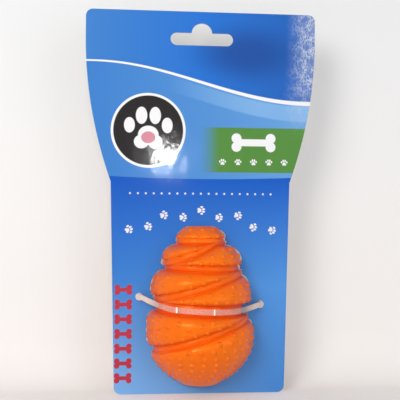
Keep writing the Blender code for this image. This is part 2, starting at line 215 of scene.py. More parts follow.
def bandMiddles(angle):
    # Heights of the bands' middle lines, from the top one down
    middles = []
    above = toy["height"]
    for band in toy["bands"]:
        middle = toy["height"] - between(band[0], band[1], sideShare(angle))
        above = min(middle, above - toy["bandSpacing"])
        middles.append(above)
    return middles


def bandFloor(index, middle, angle):
    # Radius in the groove beside a band
    band = toy["bands"][index]
    depth = between(band[2], band[3], sideShare(angle))
    return bodyRadius(middle) - depth - toy["bandRelief"]


def bandHalf(index):
    return toy["bands"][index][4] / 2.0


def grooveEnd(index):
    return bandHalf(index) + toy["grooveWidth"]


def rounding(distance, width):
    # A quarter round: 0 at the groove and 1 from the width on
    share = min(1.0, max(0.0, distance / width))
    return math.sqrt(1.0 - (1.0 - share) ** 2)


def toyRadius(height, angle, middles=None):
    middles = middles or bandMiddles(angle)
    indices = range(len(middles))
    nearest = min(indices, key=lambda index: abs(height - middles[index]) - grooveEnd(index))
    offset = abs(height - middles[nearest])
    if offset <= grooveEnd(nearest):
        across = min(1.0, offset / bandHalf(nearest))
        crest = toy["bandRelief"] * (1.0 - across ** toy["crestCurve"])
        return bandFloor(nearest, middles[nearest], angle) + crest
    # a lobe swells from the groove below it to the groove above it
    full, swell, floors = lobeRadius(height), 1.0, []
    above = [index for index in indices if middles[index] > height]
    below = [index for index in indices if middles[index] <= height]
    if above:
        edge = middles[above[-1]] - grooveEnd(above[-1])
        swell *= rounding(edge - height, toy["shoulderWidth"])
        floors.append((middles[above[-1]], bandFloor(above[-1], middles[above[-1]], angle)))
    if below:
        edge = middles[below[0]] + grooveEnd(below[0])
        swell *= rounding(height - edge, toy["undersideWidth"])
        floors.append((middles[below[0]], bandFloor(below[0], middles[below[0]], angle)))
    floor = min(full, floors[0][1])
    if len(floors) == 2:
        (top, topFloor), (foot, footFloor) = floors
        floor = between(footFloor, topFloor, (height - foot) / (top - foot))
    return between(floor, max(full, floor), swell)


def rowsBeside(index, above):
    # Distances from a band's middle line to the fine rows of corners on one side
    half, end = bandHalf(index), grooveEnd(index)
    width = toy["undersideWidth"] if above else toy["shoulderWidth"]
    steps = [half * share for share in toy["crestRows"]]
    steps += [between(half, end, share) for share in toy["grooveRows"]]
    steps += [end + width * share for share in toy["roundingRows"]]
    return steps


def toyRows(middles):
    # Heights of the rows of corners on one side, from the crown down
    above = rowsBeside(0, True)
    squeeze = min(1.0, (toy["height"] - middles[0]) * toy["rowSpace"] / above[-1])
    top = middles[0] + above[-1] * squeeze
    count = toy["domeRows"]
    heights = [between(toy["height"], top, (step / count) ** 2) for step in range(count)]
    heights += [middles[0] + step * squeeze for step in reversed(above)]
    for index in range(len(middles) - 1):
        upper, lower = middles[index:index + 2]
        below = rowsBeside(index, False)
        above = rowsBeside(index + 1, True)
        squeeze = min(1.0, (upper - lower) / (below[-1] + above[-1]) * toy["rowSpace"])
        heights.append(upper)
        heights += [upper - step * squeeze for step in below]
        start, end = heights[-1], lower + above[-1] * squeeze
        count = toy["lobeRows"]
        heights += [between(start, end, step / (count + 1)) for step in range(1, count + 1)]
        heights += [lower + step * squeeze for step in reversed(above)]
    heights.append(middles[-1])
    heights += [middles[-1] - step for step in rowsBeside(len(middles) - 1, False)]
    lowest = heights[-1]
    count = toy["baseRows"]
    heights += [lowest * (1.0 - math.sin(math.pi / 2.0 * row / count)) for row in range(1, count + 1)]
    return heights


def makeToySkin():
    # A sphere whose rings of corners are moved onto the toy's form
    rows = len(toyRows(bandMiddles(0.0)))
    deselectAll()
    bpy.ops.mesh.primitive_uv_sphere_add(segments=toy["columns"], ring_count=rows + 1, radius=1.0)
    item = bpy.context.object
    item.name = "toySkin"
    sides = {}
    for corner in item.data.vertices:
        row = round(math.acos(max(-1.0, min(1.0, corner.co.z))) / math.pi * (rows + 1))
        if row in (0, rows + 1):
            corner.co = (0.0, 0.0, ((toy["height"] if row == 0 else 0.0) + toy["base"]) * mm)
            continue
        angle = math.atan2(corner.co.y, corner.co.x)
        key = round(angle * toy["columns"])
        if key not in sides:
            middles = bandMiddles(angle)
            sides[key] = (middles, toyRows(middles))
        middles, heights = sides[key]
        height = heights[row - 1]
        radius = toyRadius(height, angle, middles)
        fromRim = (height - toy["rimHeight"]) / toy["rimSoftness"]
        radius -= toy["rimGroove"] * math.exp(-fromRim ** 2)
        corner.co = (radius * math.cos(angle) * mm, radius * math.sin(angle) * mm,
                     (height + toy["base"]) * mm)
    return item


def studReach(index):
    # How far the studs keep from the middle line of a band
    return studs["toStrap"] if index == toy["tiedBand"] else studs["toBand"]


def lobeRowHeight(index, row, angle):
    # Height of a row of studs in the lobe above a band, or above the plain base rim
    if index is None:
        height = studs["baseRim"]
    else:
        height = bandMiddles(angle)[index] + studReach(index)
    for _ in range(row):
        height += studs["rowPitch"] / math.sqrt(1.0 + lobeSlope(height) ** 2)
    return height


def studPlaces():
    # Heights and angles of the studs, lobe by lobe, in rows that climb from the band below
    places = []
    above = None
    for index in list(range(len(toy["bands"]))) + [None]:
        row, found = 0, True
        while found:
            found = False
            around = 2.0 * math.pi * lobeRadius(lobeRowHeight(index, row, 0.0))
            count = max(3, round(around / studs["spacing"]))
            for place in range(count):
                angle = 2.0 * math.pi * (place + 0.5 * (row % 2) + studs["phase"]) / count
                height = lobeRowHeight(index, row, angle)
                top = toy["height"] - studs["crownRim"]
                if above is not None:
                    top = bandMiddles(angle)[above] - studReach(above)
                if height <= top:
                    places.append((height, angle))
                    found = True
            row += 1
        above = index
    return places


def makeStuds():
    # Copies of one stud, each set square on the slope that it grows from
    model = makeTurned(studs["rings"], studs["sides"])
    model.name = "toyStuds"
    step = toy["slopeStep"]
    copies = []
    for height, angle in studPlaces():
        slope = (toyRadius(height + step, angle) - toyRadius(height - step, angle)) / (2.0 * step)
        outward = Vector((math.cos(angle), math.sin(angle), -slope)).normalized()
        radius = toyRadius(height, angle)
        foot = Vector((radius * math.cos(angle), radius * math.sin(angle), height + toy["base"])) * mm
        copy = model.copy()
        copy.data = model.data.copy()
        turn = outward.to_track_quat("Z", "Y").to_matrix().to_4x4()
        copy.data.transform(Matrix.Translation(foot) @ turn)
        scene.collection.objects.link(copy)
        copies.append(copy)
    deselectAll()
    for copy in copies:
        copy.select_set(True)
    bpy.context.view_layer.objects.active = copies[0]
    bpy.ops.object.join()
    bpy.data.objects.remove(model)
    return copies[0]


def makeHollow():
    # The treat hollow as a turned plug, with a rounded lip at its mouth
    plug = makeTurned(hollow["profile"], hollow["sides"])
    plug.data.transform(Matrix.Translation((0.0, 0.0, toy["base"] * mm)))
    return plug


def makeToy():
    print("toy: skin")
    skin = makeToySkin()
    print("toy: studs")
    knobs = makeStuds()
    print("toy: hollow")
    plug = makeHollow()
    applyModifier(skin, "studs", "BOOLEAN", object=knobs, operation="UNION", solver="MANIFOLD")
    applyModifier(skin, "hollow", "BOOLEAN", object=plug, operation="DIFFERENCE", solver="MANIFOLD")
    bpy.data.objects.remove(knobs)
    bpy.data.objects.remove(plug)
    pick(skin)
    bpy.ops.object.shade_smooth()
    skin.name = "toyBody"
    skin.data.name = "toyBody"
    # how deep each corner lies below the lobes, for the painted shade in the rubber's grooves
    depth = skin.data.attributes.new("grooveDepth", "FLOAT", "POINT")
    for corner in skin.data.vertices:
        height = corner.co.z / mm - toy["base"]
        angle = math.atan2(corner.co.y, corner.co.x)
        depth.data[corner.index].value = lobeRadius(height) - toyRadius(height, angle)
    return skin


# The hang card

card = {
    "thickness": 0.8,
    "top": 14.2,
    "bottom": -180.3,
    "headerHalf": 58.9,
    "waistHeight": -73.2,
    "waistHalf": 45.8,
    "sideCurve": 2.0,         # how the side bends from the waist out to the header
    "footHalf": 43.4,
    "corner": 3.6,
    "softEdge": 0.09,
    "windowSnug": 0.06,       # gap between the lobes and the board
    # where light shows beside the toy: middle height, half the height and width of each sliver
    "sliversLeft": [(72.6, 1.4, 0.3), (61.2, 1.7, 0.95), (50.4, 4.2, 0.42), (44.0, 1.5, 0.6),
                    (31.5, 1.2, 0.25), (27.0, 1.2, 0.25), (21.5, 1.2, 0.3)],
    "sliversRight": [(73.5, 3.6, 0.75), (64.6, 3.8, 0.95), (59.0, 2.4, 0.9), (53.0, 3.4, 0.5),
                     (46.0, 1.5, 0.2), (31.0, 1.5, 0.2)],
    "windowNotch": 0.25,      # how much slimmer its notches are than the toy's, above and below
    "slotLength": 32.0,
    "slotHeight": 6.3,
    "slotCorner": 3.1,
    "bumpRadius": 5.25,
    "bumpRise": 5.0,
    "holeRadius": 1.9,
    "holes": [(-30.9, -131.3), (30.9, -135.4)],
    # fineness of the cut lines
    "edgeSteps": 2,
    "cornerSteps": 12,
    "sideSteps": 48,
    "windowRows": 240,
    "notchSteps": 8,
    "slotSteps": 10,
    "bumpSteps": 36,
    "holeSteps": 48,
}


def arcPoints(x, z, radius, start, end, steps):
    points = []
    for step in range(steps + 1):
        angle = math.radians(between(start, end, step / steps))
        points.append((x + radius * math.cos(angle), z + radius * math.sin(angle)))
    return points


def cardOutline():
    # Straight lower sides, a curve that widens from the waist to the header, round corners
    corner, steps = card["corner"], card["cornerSteps"]
    right = arcPoints(card["footHalf"] - corner, card["bottom"] + corner, corner, -90, 0, steps)
    spread = card["headerHalf"] - card["waistHalf"]
    for step in range(card["sideSteps"] + 1):
        share = step / card["sideSteps"]
        right.append((card["headerHalf"] - spread * (1.0 - share) ** card["sideCurve"],
                      between(card["waistHeight"], 0.0, share)))
    right += arcPoints(card["headerHalf"] - corner, card["top"] - corner, corner, 0, 90, steps)
    return right + [(-x, z) for x, z in reversed(right)]


def windowGap(height, rightSide):
    # The die-cut window follows the toy closely and stands off from it in a few places
    gap = card["windowSnug"]
    for middle, half, wide in card["sliversRight" if rightSide else "sliversLeft"]:
        share = min(1.0, abs(height - middle) / half)
        gap = max(gap, card["windowSnug"] + wide * math.sqrt(1.0 - share ** 2))
    return gap


def windowOutline():
    # The window follows the toy's own outline, with its notches drawn in less
    reach = card["notchSteps"]
    sides = []
    for angle in (0.0, math.pi):
        points = []
        for step in range(card["windowRows"] + 1):
            height = toy["height"] * step / card["windowRows"]
            near = [min(toy["height"], max(0.0, height + card["windowNotch"] * share / reach))
                    for share in range(-reach, reach + 1)]
            radius = max(toyRadius(level, angle) for level in near)
            points.append((radius + windowGap(height, angle == 0.0), height))
        sides.append(points)
    right, left = sides
    slack = card["windowSnug"]
    outline = [(toy["baseRadius"], -slack)] + right
    outline += [(toy["crownRadius"], toy["height"] + slack), (-toy["crownRadius"], toy["height"] + slack)]
    outline += [(-x, height) for x, height in reversed(left)] + [(-toy["baseRadius"], -slack)]
    return [(x, height + toy["base"]) for x, height in outline]


def slotOutline():
    # Hang slot with round ends, and a round bump over its middle
    corner, half = card["slotCorner"], card["slotHeight"] / 2.0
    end = card["slotLength"] / 2.0 - corner
    middle = half + card["bumpRise"] - card["bumpRadius"]
    foot = math.degrees(math.asin((half - middle) / card["bumpRadius"]))
    steps = card["slotSteps"]
    points = arcPoints(end, -half + corner, corner, -90, 0, steps)
    points += arcPoints(end, half - corner, corner, 0, 90, steps)
    points += arcPoints(0.0, middle, card["bumpRadius"], foot, 180 - foot, card["bumpSteps"])
    points += arcPoints(-end, half - corner, corner, 90, 180, steps)
    points += arcPoints(-end, -half + corner, corner, 180, 270, steps)
    return points


def makeCard():
    print("card: die-cut board")
    curve = bpy.data.curves.new("hangCard", "CURVE")
    curve.dimensions = "2D"
    curve.fill_mode = "BOTH"
    curve.extrude = (card["thickness"] / 2.0 - card["softEdge"]) * mm
    curve.bevel_depth = card["softEdge"] * mm
    curve.bevel_resolution = card["edgeSteps"]
    curve.offset = -card["softEdge"] * mm
    outlines = [cardOutline(), windowOutline(), slotOutline()]
    steps = card["holeSteps"]
    for x, z in card["holes"]:
        outlines.append(arcPoints(x, z, card["holeRadius"], 0, 360.0 * (steps - 1) / steps, steps - 1))
    for outline in outlines:
        line = curve.splines.new("POLY")
        line.points.add(len(outline) - 1)
        for point, (x, z) in zip(line.points, outline):
            point.co = (x * mm, z * mm, 0.0, 1.0)
        line.use_cyclic_u = True
    item = bpy.data.objects.new("hangCard", curve)
    scene.collection.objects.link(item)
    pick(item)
    bpy.ops.object.convert(target="MESH")
    item = bpy.context.object
    item.data.transform(Matrix.Rotation(math.radians(90.0), 4, "X"))
    bpy.ops.object.mode_set(mode="EDIT")
    bpy.ops.mesh.select_all(action="SELECT")
    bpy.ops.mesh.remove_doubles(threshold=weld)
    bpy.ops.mesh.normals_make_consistent(inside=False)
    bpy.ops.object.mode_set(mode="OBJECT")
    return item


# The cable tie

tie = {
    "softEdge": 0.2,
    "edgeSteps": 2,
    "flatUnder": 1.0,         # degrees between facets that are made one face
    "sharpOver": 50.0,        # degrees at an edge that is rounded
    "smoothUnder": 40.0,      # degrees at an edge that is shaded smooth
    "markAt": (-13.0, 4.9),   # pale marks across the strap
    "markHalf": 0.42,
    "markSoft": 0.15,
    "clearTo": (21.0, 27.0),  # from here outwards the strap looks milky, with nothing close behind
}


def makeTie():
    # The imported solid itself, with its facets merged and its edges rounded
    print("tie: strap and head")
    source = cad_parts["cable_tie"]
    item = bpy.data.objects.new("cableTie", source.data.copy())
    scene.collection.objects.link(item)
    pick(item)
    bpy.ops.object.mode_set(mode="EDIT")
    bpy.ops.mesh.select_all(action="SELECT")
    bpy.ops.mesh.remove_doubles(threshold=weld)
    bpy.ops.mesh.dissolve_limited(angle_limit=math.radians(tie["flatUnder"]))
    bpy.ops.object.mode_set(mode="OBJECT")
    applyModifier(item, "softEdges", "BEVEL", width=tie["softEdge"] * mm, segments=tie["edgeSteps"],
                  limit_method="ANGLE", angle_limit=math.radians(tie["sharpOver"]))
    pick(item)
    bpy.ops.object.shade_smooth_by_angle(angle=math.radians(tie["smoothUnder"]))
    return item


# Materials

rubber = {
    "orange": "#FF7C10",
    "redOrange": "#FC6A06",
    # painted shade: the darker red-orange that the grooves are coloured towards
    "paintedGrooveShade": "#F05604",
    "grooveDepth": (0.4, 4.6),    # how far below the lobes the painted groove shade begins and is full
    "cloudSize": 14.0,
    "grainSize": 0.55,            # the mould's blasted grain, drawn coarser so that it shows
    "grainHeight": 0.06,
    "grainStrength": 0.18,
    "roughness": 0.31,
    "shine": 0.8,
    "shineTint": "#FFAA50",
    "glow": 0.25,                 # share of the light that spreads under the skin
    "glowDepth": 2.6,
    "glowSpread": (1.0, 0.28, 0.06),
    "bloom": (0.08, 0.12),        # weight and roughness of the waxy outer skin
}


def naturalRubber():
    # Natural rubber, compression moulded and pigmented: a soft satin skin that glows in thin
    # places, with painted shade that turns it redder down in the grooves, standing in for light bouncing
    # from orange to orange
    material = newMaterial("naturalRubber")
    place = addNode(material, "TexCoord").outputs["Object"]
    depth = addNode(material, "Attribute", attribute_name="grooveDepth").outputs["Fac"]
    cloud = addNode(material, "TexNoise", {"Vector": place, "Scale": 1.0 / (rubber["cloudSize"] * mm),
                                           "Detail": 3.0})
    low = addNode(material, "MapRange", {"Value": depth, "From Min": rubber["grooveDepth"][0],
                                         "From Max": rubber["grooveDepth"][1]})
    pigment = addNode(material, "Mix", {"Factor": cloud.outputs["Fac"],
                                        "A": colourFrom(rubber["orange"]),
                                        "B": colourFrom(rubber["redOrange"])}, data_type="RGBA")
    # painted shade: the deeper a point lies in a groove, the more its orange turns to the darker
    # red-orange
    shadedGrooves = addNode(material, "Mix", {"Factor": low.outputs["Result"],
                                       "A": pigment.outputs["Result"],
                                       "B": colourFrom(rubber["paintedGrooveShade"])}, data_type="RGBA")
    grain = addNode(material, "TexNoise", {"Vector": place, "Scale": 1.0 / (rubber["grainSize"] * mm),
                                           "Detail": 4.0})
    skin = addNode(material, "Bump", {"Height": grain.outputs["Fac"],
                                      "Strength": rubber["grainStrength"],
                                      "Distance": rubber["grainHeight"] * mm})
    surface = addNode(material, "BsdfPrincipled", {
        "Base Color": shadedGrooves.outputs["Result"], "Roughness": rubber["roughness"], "IOR": 1.52,
        "Specular IOR Level": rubber["shine"], "Specular Tint": colourFrom(rubber["shineTint"]),
        "Normal": skin.outputs["Normal"], "Subsurface Weight": rubber["glow"],
        "Subsurface Radius": rubber["glowSpread"], "Subsurface Scale": rubber["glowDepth"] * mm,
        "Coat Weight": rubber["bloom"][0], "Coat Roughness": rubber["bloom"][1]})
    addNode(material, "OutputMaterial", {"Surface": surface.outputs["BSDF"]})
    return material


nylon = {
    "milk": "#FBE8DA",
    "creamyMilk": "#F2DDCD",
    "markWhite": "#FBF6EE",
    "cover": (0.23, 0.9),         # how solid it looks over the toy and out at its ends
    "cloudsPerMm": 0.33,
    "wavesPerMm": 1.1,
    "waveHeight": 0.08,
    "waveStrength": 0.15,
    "roughness": 0.3,
}


def plainNylon():
    # Unpigmented nylon 6.6, injection moulded: milky and half clear, so the orange close behind
    # tints it, with two pale marks across the front
    material = newMaterial("plainNylon")
    place = addNode(material, "TexCoord").outputs["Object"]
    place = addNode(material, "VectorMath", {0: place, "Scale": 1.0 / mm}, operation="SCALE")
    parts = addNode(material, "SeparateXYZ", {"Vector": place.outputs["Vector"]})
    marks = None
    for x in tie["markAt"]:
        away = addNode(material, "Math", {0: parts.outputs["X"], 1: x}, operation="SUBTRACT")
        near = addNode(material, "Math", {0: away.outputs[0]}, operation="ABSOLUTE")
        mask = addNode(material, "MapRange", {
            "Value": near.outputs[0], "From Min": tie["markHalf"] - tie["markSoft"],
            "From Max": tie["markHalf"] + tie["markSoft"], "To Min": 1.0, "To Max": 0.0})
        marks = mask.outputs["Result"] if marks is None else addNode(
            material, "Math", {0: marks, 1: mask.outputs["Result"]}, operation="MAXIMUM").outputs[0]
    front = addNode(material, "Math", {0: parts.outputs["Y"], 1: 0.0}, operation="LESS_THAN")
    marks = addNode(material, "Math", {0: marks, 1: front.outputs[0]}, operation="MULTIPLY").outputs[0]
    cloud = addNode(material, "TexNoise", {"Vector": place.outputs["Vector"],
                                           "Scale": nylon["cloudsPerMm"], "Detail": 2.0})
    milk = addNode(material, "Mix", {"Factor": cloud.outputs["Fac"], "A": colourFrom(nylon["milk"]),
                                     "B": colourFrom(nylon["creamyMilk"])}, data_type="RGBA")
    colour = addNode(material, "Mix", {"Factor": marks, "A": milk.outputs["Result"],
                                       "B": colourFrom(nylon["markWhite"])}, data_type="RGBA")
    side = addNode(material, "Math", {0: parts.outputs["X"]}, operation="ABSOLUTE")
    body = addNode(material, "MapRange", {"Value": side.outputs[0], "From Min": tie["clearTo"][0],
                                          "From Max": tie["clearTo"][1],
                                          "To Min": nylon["cover"][0], "To Max": nylon["cover"][1]})
    body = addNode(material, "Math", {0: body.outputs["Result"], 1: marks}, operation="MAXIMUM")
    wave = addNode(material, "TexNoise", {"Vector": place.outputs["Vector"],
                                          "Scale": nylon["wavesPerMm"], "Detail": 2.0})
    skin = addNode(material, "Bump", {"Height": wave.outputs["Fac"],
                                      "Strength": nylon["waveStrength"],
                                      "Distance": nylon["waveHeight"] * mm})
    surface = addNode(material, "BsdfPrincipled", {
        "Base Color": colour.outputs["Result"], "Roughness": nylon["roughness"], "IOR": 1.53,
        "Alpha": body.outputs[0], "Normal": skin.outputs["Normal"]})
    addNode(material, "OutputMaterial", {"Surface": surface.outputs["BSDF"]})
    return material


board = {
    "pulp": "#EDEBE6",
    "greyPulp": "#DEDBD4",
    "fleckSize": 1.2,
    "fleckHeight": 0.05,
    "fleckStrength": 0.3,
    "pulpRoughness": 0.85,
    "inkRoughness": 0.6,
    "inkShine": 0.04,
    "gloss": (0.4, 0.09),         # weight and roughness of the clear film over the inks
    "peelPerMm": 0.12,            # waves of the film's faint orange-peel
    "peelHeight": 0.6,
    "peelStrength": 0.16,
    "front": -0.9,                # a face whose normal points further forwards than this is printed
}


def boardBack():
    # Uncoated back of the board: matt off-white pulp with faint grey flecks
    material = newMaterial("boardBack")
    place = addNode(material, "TexCoord").outputs["Object"]
    pulp = addNode(material, "TexNoise", {"Vector": place, "Scale": 1.0 / (board["fleckSize"] * mm),
                                          "Detail": 5.0})
    colour = addNode(material, "Mix", {"Factor": pulp.outputs["Fac"], "A": colourFrom(board["pulp"]),
                                       "B": colourFrom(board["greyPulp"])}, data_type="RGBA")
    skin = addNode(material, "Bump", {"Height": pulp.outputs["Fac"],
                                      "Strength": board["fleckStrength"],
                                      "Distance": board["fleckHeight"] * mm})
    surface = addNode(material, "BsdfPrincipled", {
        "Base Color": colour.outputs["Result"], "Roughness": board["pulpRoughness"],
        "Normal": skin.outputs["Normal"]})
    addNode(material, "OutputMaterial", {"Surface": surface.outputs["BSDF"]})
    return material


# A height or a place is measured from the middle of the hang slot
printing = {
    "white": "#F4F6FA",
    "inkEdge": 0.12,                                      # an ink's edge fades over this either way
    "headerInks": ["#3F82CF", "#2273D6", "#1E5EB6"],      # left, middle, right
    "shadeInk": "#184A9C",
    "shade": (24.0, -7.0, 38.0, 19.0),                    # soft dark patch: centre and half sizes
    "shadeFade": (0.15, 1.0, 0.85),                       # full to here, gone from here, strength
    "wave": (-22.0, 10.0, 220.0),                         # middle height, rise and length
    "waveHalf": (0.4, 1.1),                               # half the white line at each end
    "fieldInks": ["#3C80D0", "#4F90D8", "#6CA6E2"],
    "paleInk": "#7FB4EA",
    "paleStrip": (-5.6, 3.9, 0.5),                        # from the wave, half height and edge
    "paleFrom": (0.35, 0.75),                             # shares of the width where it comes in
    "foldHeight": -71.5,                                  # where the lower field begins
    "foldBow": 0.0005,                                    # rise of its edge per mm squared
    "lowerEnd": -180.0,
    "lowerLeft": ["#0A58C4", "#367FD6", "#88BEF4"],
    "lowerRight": ["#0A5CC8", "#529AE8", "#2E7CD0"],
    "panelInk": "#558E40",
    "panel": (-2.0, -56.5, 11.5, 12.0),                   # left end, middle, half height, fade
    "bone": (27.0, -52.6, 23.0, 9.5),                     # middle, length and width
    "smallPaws": (27.0, -62.8, 8.0, 2.1, 5),              # middle, pitch, size and count
    "badgeInk": "#232122",
    "badge": (-27.0, -47.0, 19.0, 1.3, 14.5),             # middle, radius, white rim, paw's size
    "pinkInk": "#D98FA0",
    "pinkPad": (3.6, 3.6, 3.0),                           # drop from the middle and half sizes
    "trail": (-160.0, 71.0, 9.4, 2.6, 1.5, 9),            # centre, radius, pitch, size, step, count
    "trailShare": 0.92,
    "dots": (-79.0, 4.0, 0.5, 19),                        # height, pitch, radius and count
    "dotShare": 0.9,
    "columnInk": "#BC3347",
    "column": (-38.9, -150.0, 7.4, 9.0, 5.2, 7),          # middle, pitch, length, width and count
    # a bone's knobs, in shares of its width: how far their middles stand in from its ends and
    # out from its middle line, and their radius, and then half the bar's width
    "knobs": (0.28, 0.23, 0.27, 0.19),
    # a paw print of size 1: middle and half sizes of the ellipses of its pad and its four toes
    "pads": [(0.0, -0.16, 0.36, 0.32), (-0.24, -0.4, 0.26, 0.24), (0.24, -0.4, 0.26, 0.24),
             (-0.66, 0.18, 0.19, 0.27), (-0.24, 0.52, 0.2, 0.3), (0.24, 0.52, 0.2, 0.3),
             (0.66, 0.18, 0.19, 0.27)],
    "padRadius": 0.25,                                    # of a pad of middling size
}


def fadeInks(material, share, inks):
    # Inks that fade into each other in equal steps as the share goes from 0 to 1
    colour = colourFrom(inks[0])
    steps = len(inks) - 1
    for step, ink in enumerate(inks[1:]):
        mask = addNode(material, "MapRange", {"Value": share, "From Min": step / steps,
                                              "From Max": (step + 1) / steps})
        colour = addNode(material, "Mix", {"Factor": mask.outputs["Result"], "A": colour,
                                           "B": colourFrom(ink)}, data_type="RGBA").outputs["Result"]
    return colour


def layInk(material, under, ink, away, soft=printing["inkEdge"], share=1.0):
    # Print one ink over the others where a point is less than 0 mm away from the shape
    mask = addNode(material, "MapRange", {"Value": away, "From Min": -soft, "From Max": soft,
                                          "To Min": 1.0, "To Max": 0.0})
    cover = addNode(material, "Math", {0: mask.outputs["Result"], 1: share}, operation="MULTIPLY")
    ink = colourFrom(ink) if isinstance(ink, str) else ink
    return addNode(material, "Mix", {"Factor": cover.outputs[0], "A": under, "B": ink},
                   data_type="RGBA").outputs["Result"]


def stripShape(material, value, middle, half):
    # Millimetres from a strip on both sides of a middle line
    away = addNode(material, "Math", {0: value, 1: middle}, operation="SUBTRACT")
    away = addNode(material, "Math", {0: away.outputs[0]}, operation="ABSOLUTE")
    return addNode(material, "Math", {0: away.outputs[0], 1: half}, operation="SUBTRACT").outputs[0]


def rowShape(material, shape, along, count, pitch):
    # A shape that repeats without end is kept only where the row has its few copies
    beyond = stripShape(material, along, 0.0, count / 2.0 * pitch)
    return addNode(material, "Math", {0: shape, 1: beyond}, operation="MAXIMUM").outputs[0]


def pawShape(material, place, size):
    # Millimetres from a paw print: the nearest of its ellipses counts
    nearest = None
    for x, z, wide, high in printing["pads"]:
        centred = addNode(material, "VectorMath", {
            0: place, 1: (1.0 / (wide * size), 0.0, 1.0 / (high * size)),
            2: (-x / wide, 0.0, -z / high)}, operation="MULTIPLY_ADD")
        away = addNode(material, "VectorMath", {0: centred.outputs["Vector"]}, operation="LENGTH")
        away = away.outputs["Value"]
        if nearest is not None:
            away = addNode(material, "Math", {0: nearest, 1: away}, operation="MINIMUM").outputs[0]
        nearest = away
    reach = size * printing["padRadius"]
    return addNode(material, "Math", {0: nearest, 1: reach, 2: -reach},
                   operation="MULTIPLY_ADD").outputs[0]


def boneShape(material, place, length, width):
    # Millimetres from a bone: a bar with two round knobs at each end
    inward, outward, radius, barHalf = [width * share for share in printing["knobs"]]
    end = length / 2.0 - inward
    folded = addNode(material, "VectorMath", {0: place}, operation="ABSOLUTE").outputs["Vector"]
    knob = addNode(material, "VectorMath", {0: folded, 1: (end, 0.0, outward)}, operation="DISTANCE")
    knob = addNode(material, "Math", {0: knob.outputs["Value"], 1: radius}, operation="SUBTRACT")
    beyond = addNode(material, "VectorMath", {0: folded, 1: (end, 0.0, barHalf)},
                     operation="SUBTRACT")
    sides = addNode(material, "SeparateXYZ", {"Vector": beyond.outputs["Vector"]})
    bar = addNode(material, "Math", {0: sides.outputs["X"], 1: sides.outputs["Z"]}, operation="MAXIMUM")
    return addNode(material, "Math", {0: bar.outputs[0], 1: knob.outputs[0]},
                   operation="MINIMUM").outputs[0]


def headerPrint(material, x, z, across):
    # Blue header over a white wave, and the paler field below it
    centreX, centreZ, wide, high = printing["shade"]
    full, gone, strength = printing["shadeFade"]
    colour = fadeInks(material, across, printing["headerInks"])
    flat = addNode(material, "CombineXYZ", {"X": x, "Z": z}).outputs["Vector"]
    centred = addNode(material, "VectorMath", {0: flat, 1: (1.0 / wide, 0.0, 1.0 / high),
                                               2: (-centreX / wide, 0.0, -centreZ / high)},
                      operation="MULTIPLY_ADD")
    away = addNode(material, "VectorMath", {0: centred.outputs["Vector"]}, operation="LENGTH")
    dusk = addNode(material, "MapRange", {"Value": away.outputs["Value"], "From Min": full,
                                          "From Max": gone, "To Min": strength, "To Max": 0.0},
                   interpolation_type="SMOOTHSTEP")
    colour = addNode(material, "Mix", {"Factor": dusk.outputs["Result"], "A": colour,
                                       "B": colourFrom(printing["shadeInk"])},
                     data_type="RGBA").outputs["Result"]
    middle, rise, length = printing["wave"]
    turn = addNode(material, "Math", {0: x, 1: 2.0 * math.pi / length}, operation="MULTIPLY")
    swing = addNode(material, "Math", {0: turn.outputs[0]}, operation="SINE")
    wave = addNode(material, "Math", {0: swing.outputs[0], 1: -rise, 2: middle},
                   operation="MULTIPLY_ADD")
    above = addNode(material, "Math", {0: z, 1: wave.outputs[0]}, operation="SUBTRACT").outputs[0]
    field = fadeInks(material, across, printing["fieldInks"])
    middle, half, soft = printing["paleStrip"]
    start, end = printing["paleFrom"]
    strip = stripShape(material, above, middle, half)
    comesIn = addNode(material, "MapRange", {"Value": across, "From Min": start, "From Max": end})
    field = layInk(material, field, printing["paleInk"], strip, soft, comesIn.outputs["Result"])
    colour = layInk(material, colour, field, above)
    half = addNode(material, "MapRange", {"Value": across, "To Min": printing["waveHalf"][0],
                                          "To Max": printing["waveHalf"][1]})
    line = stripShape(material, above, 0.0, half.outputs["Result"])
    return layInk(material, colour, printing["white"], line)


def panelPrint(material, colour, x, z):
    # Green panel with a bone and a row of small paws, fading out at its left end
    start, middle, half, fade = printing["panel"]
    strip = stripShape(material, z, middle, half)
    share = addNode(material, "MapRange", {"Value": x, "From Min": start, "From Max": start + fade},
                    interpolation_type="SMOOTHSTEP")
    colour = layInk(material, colour, printing["panelInk"], strip, share=share.outputs["Result"])
    centreX, centreZ, length, width = printing["bone"]
    place = addNode(material, "CombineXYZ", {"X": x, "Z": z}).outputs["Vector"]
    centred = addNode(material, "Mapping", {"Vector": place, "Location": (-centreX, 0.0, -centreZ)})
    away = boneShape(material, centred.outputs["Vector"], length, width)
    colour = layInk(material, colour, printing["white"], away)
    centreX, centreZ, pitch, size, count = printing["smallPaws"]
    along = addNode(material, "Math", {0: x, 1: centreX}, operation="SUBTRACT").outputs[0]
    cell = addNode(material, "Math", {0: along, 1: pitch / 2.0, 2: -pitch / 2.0}, operation="WRAP")
    up = addNode(material, "Math", {0: z, 1: centreZ}, operation="SUBTRACT")
    place = addNode(material, "CombineXYZ", {"X": cell.outputs[0], "Z": up.outputs[0]})
    paws = pawShape(material, place.outputs["Vector"], size)
    paws = rowShape(material, paws, along, count, pitch)
    return layInk(material, colour, printing["white"], paws)


